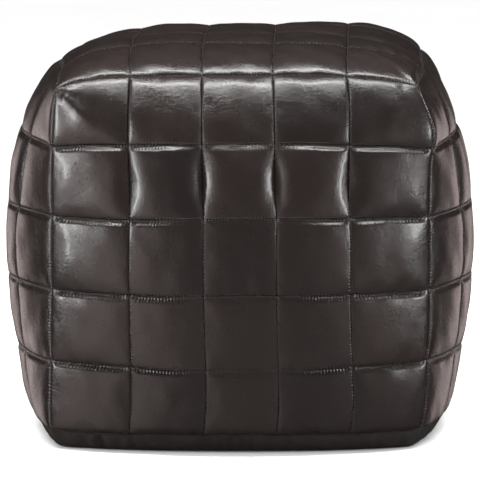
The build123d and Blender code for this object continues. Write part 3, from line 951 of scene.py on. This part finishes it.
def metal_material():
    material, nodes, links, shader = new_material("aged_brass")
    place = nodes.new("ShaderNodeTexCoord").outputs["Object"]
    tarnish = noise_node(nodes, links, place, 420, 4, 0.6).outputs["Fac"]
    colour = ramp_node(nodes, ((0.35, (0.20, 0.13, 0.06)), (0.65, (0.62, 0.45, 0.20))))
    links.new(tarnish, colour.inputs["Fac"])
    links.new(colour.outputs["Color"], shader.inputs["Base Color"])
    rough = ramp_node(nodes, ((0.3, (0.45,) * 3), (0.7, (0.25,) * 3)))
    links.new(tarnish, rough.inputs["Fac"])
    links.new(rough.outputs["Color"], shader.inputs["Roughness"])
    links.new(bump_node(nodes, links, tarnish, 0.15, 0.0003), shader.inputs["Normal"])
    shader.inputs["Metallic"].default_value = 1.0
    return material


def floor_material():
    material, nodes, links, shader = new_material("pale_floor")
    place = nodes.new("ShaderNodeTexCoord").outputs["Object"]
    soft = noise_node(nodes, links, place, 2, 2, 0.5).outputs["Fac"]
    colour = ramp_node(nodes, ((0.3, (0.89, 0.89, 0.89)), (0.7, (0.91, 0.91, 0.91))))
    links.new(soft, colour.inputs["Fac"])
    links.new(colour.outputs["Color"], shader.inputs["Base Color"])
    shader.inputs["Roughness"].default_value = 0.8
    return material


# ---- Building every piece ----

leather = leather_material()
thread = cloth_material("seam_thread", (0.010, 0.009, 0.008), (0.030, 0.026, 0.023), 900, 0.6)
base_fabric = cloth_material("base_cloth", (0.0050, 0.0041, 0.0034), (0.0140, 0.0112, 0.0095), 420, 0.9)
tape_fabric = cloth_material("zip_tape", (0.008, 0.008, 0.008), (0.025, 0.025, 0.025), 700, 0.8)
nylon = cloth_material("zip_coil", (0.012, 0.012, 0.012), (0.022, 0.022, 0.022), 300, 0.4, 0.1)
cotton = cloth_material("liner_cotton", (0.55, 0.50, 0.41), (0.74, 0.69, 0.60), 260, 0.9)
fill = cloth_material("stuffing", (0.45, 0.41, 0.34), (0.72, 0.68, 0.60), 60, 0.95)
brass = metal_material()

simulate_slack()
for face in FACES:
    for row_number in range(1, PATCHES + 1):
        mesh = leather_row(face, row_number)
        node = f"{face}_patch_row_{row_number}"
        piece = add_piece(mesh, "pouf", leather, (node,))
    mesh = face_stitches(face)
    add_piece(mesh, "pouf", thread, (f"{face}_seam_thread",))
for mesh, node in (
    (edge_stitches("high", "top_edge_stitches"), "top_edge_thread"),
    (edge_stitches("low", "base_edge_stitches"), "base_edge_thread"),
    (corner_stitches(), "corner_thread"),
):
    add_piece(mesh, "pouf", thread, (node,))

for side, name in ((-1, "front"), (1, "back")):
    mesh = base_cloth(side)
    piece = add_piece(mesh, "pouf", base_fabric, (f"base_panel_{name}",))
    mesh = coil(side, f"zip_teeth_{name}")
    add_piece(mesh, "pouf", nylon, (f"zip_teeth_{name}",))
    mesh = zip_stitches(side, f"zip_thread_{name}")
    add_piece(mesh, "pouf", thread, (f"zip_thread_{name}",))

mesh = filled_form("liner", LINER_DEPTH, LINER_LUMPS)
piece = add_piece(mesh, "pouf", cotton, ("liner_bag",))
mesh = filled_form("fill", FILL_DEPTH, FILL_LUMPS)
piece = add_piece(mesh, "pouf", fill, ("stuffing",))

KEPT_NODES = {
    "zip_end_tab_left": base_fabric,
    "zip_end_tab_right": base_fabric,
    "zip_tape_front": tape_fabric,
    "zip_tape_back": tape_fabric,
    "zip_stop_closed": brass,
    "zip_stop_open": brass,
    "zip_slider": brass,
    "zip_pull_tab": brass,
}
for node, material in KEPT_NODES.items():
    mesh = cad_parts[node].data
    mesh.materials.clear()
    mesh.materials.append(material)

# ---- Floor, light and camera ----

FLOOR_REACH = 12.0
FLOOR_DROP = 0.3 * MM           # keeps the floor just clear of the base cloth
floor_corners = [(x * FLOOR_REACH, y * FLOOR_REACH, 0) for x, y in ((-1, -1), (1, -1), (1, 1), (-1, 1))]
floor_mesh = bpy.data.meshes.new("floor")
floor_mesh.from_pydata(floor_corners, [], [(0, 1, 2, 3)])
floor = bpy.data.objects.new("floor", floor_mesh)
floor.location.z = -FLOOR_DROP
bpy.context.scene.collection.objects.link(floor)
floor_mesh.materials.append(floor_material())
floor.visible_glossy = False

# What shiny surfaces see of the room: direction, the cosine where it fades out, and glow.
ROOM = (
    ((-0.77, -0.64, 0.00), 0.87, 1.40),
    ((0.77, -0.64, 0.00), 0.87, 0.70),
    ((0.00, -1.00, 0.05), 0.60, 0.11),
    ((0.00, -0.80, -0.60), 0.60, 0.22),
    ((-0.65, -0.60, -0.45), 0.80, 1.10),
    ((0.65, -0.60, -0.45), 0.80, 0.30),
    ((0.00, -0.75, 0.65), 0.75, 0.06),
    ((0.00, 0.40, 0.92), 0.75, 0.30),
    ((-0.54, 0.83, -0.15), 0.955, 1.55),
    ((0.54, 0.83, -0.15), 0.955, 1.45),
)
ROOM_GLOW = 0.03
ROOM_TINT = (1.0, 0.83, 0.80, 1)
SKY_GLOW = 1.15


def studio_world():
    """White all round for the floor and for soft fill; reflections see a dimmer room."""
    world = bpy.data.worlds.new("studio")
    bpy.context.scene.world = world
    world.use_nodes = True
    nodes, links = world.node_tree.nodes, world.node_tree.links
    white = nodes["Background"]
    white.inputs["Color"].default_value = (1.0, 1.0, 1.0, 1)
    white.inputs["Strength"].default_value = SKY_GLOW
    direction = nodes.new("ShaderNodeTexCoord").outputs["Generated"]
    glow = ROOM_GLOW
    for towards, fade, strength in ROOM:
        facing = nodes.new("ShaderNodeVectorMath")
        facing.operation = "DOT_PRODUCT"
        links.new(direction, facing.inputs[0])
        facing.inputs[1].default_value = Vector(towards).normalized()
        lobe = nodes.new("ShaderNodeMapRange")
        lobe.interpolation_type = "SMOOTHSTEP"
        lobe.inputs["From Min"].default_value = fade
        lobe.inputs["To Max"].default_value = strength
        links.new(facing.outputs["Value"], lobe.inputs["Value"])
        glow = math_node(nodes, links, "ADD", lobe.outputs[0], glow)
    room = nodes.new("ShaderNodeBackground")
    room.inputs["Color"].default_value = ROOM_TINT
    links.new(glow, room.inputs["Strength"])
    mix = nodes.new("ShaderNodeMixShader")
    links.new(nodes.new("ShaderNodeLightPath").outputs["Is Glossy Ray"], mix.inputs["Fac"])
    links.new(white.outputs[0], mix.inputs[1])
    links.new(room.outputs[0], mix.inputs[2])
    links.new(mix.outputs[0], nodes["World Output"].inputs["Surface"])


studio_world()


LIGHT_AIM = Vector((0, 0, 0.18))


def softbox(name, place, width, height, watts):
    light = bpy.data.lights.new(name, "AREA")
    light.shape = "RECTANGLE"
    light.size = width
    light.size_y = height
    light.energy = watts
    lamp = bpy.data.objects.new(name, light)
    lamp.location = place
    lamp.rotation_euler = (LIGHT_AIM - Vector(place)).to_track_quat("-Z", "Y").to_euler()
    bpy.context.scene.collection.objects.link(lamp)


softbox("overhead", (0, -0.38, 1.78), 2.5, 0.20, 80)
softbox("left_strip", (-1.86, -0.62, 0.46), 0.22, 0.70, 25)
softbox("right_strip", (1.86, -0.62, 0.46), 0.22, 0.70, 22)

CAMERA_DISTANCE = 3.06
CAMERA_ELEVATION = 0.1412       # radians above the horizon
CAMERA_AIM = Vector((0, 0, 0.171))
CAMERA_LENS = 236.2
camera_data = bpy.data.cameras.new("camera")
camera_data.lens = CAMERA_LENS
camera_data.sensor_width = 36
camera = bpy.data.objects.new("camera", camera_data)
bpy.context.scene.collection.objects.link(camera)
away = Vector((0, -math.cos(CAMERA_ELEVATION), math.sin(CAMERA_ELEVATION)))
camera.location = CAMERA_AIM + away * CAMERA_DISTANCE
camera.rotation_euler = (-away).to_track_quat("-Z", "Y").to_euler()
bpy.context.scene.camera = camera
bpy.context.scene.view_settings.view_transform = "Standard"
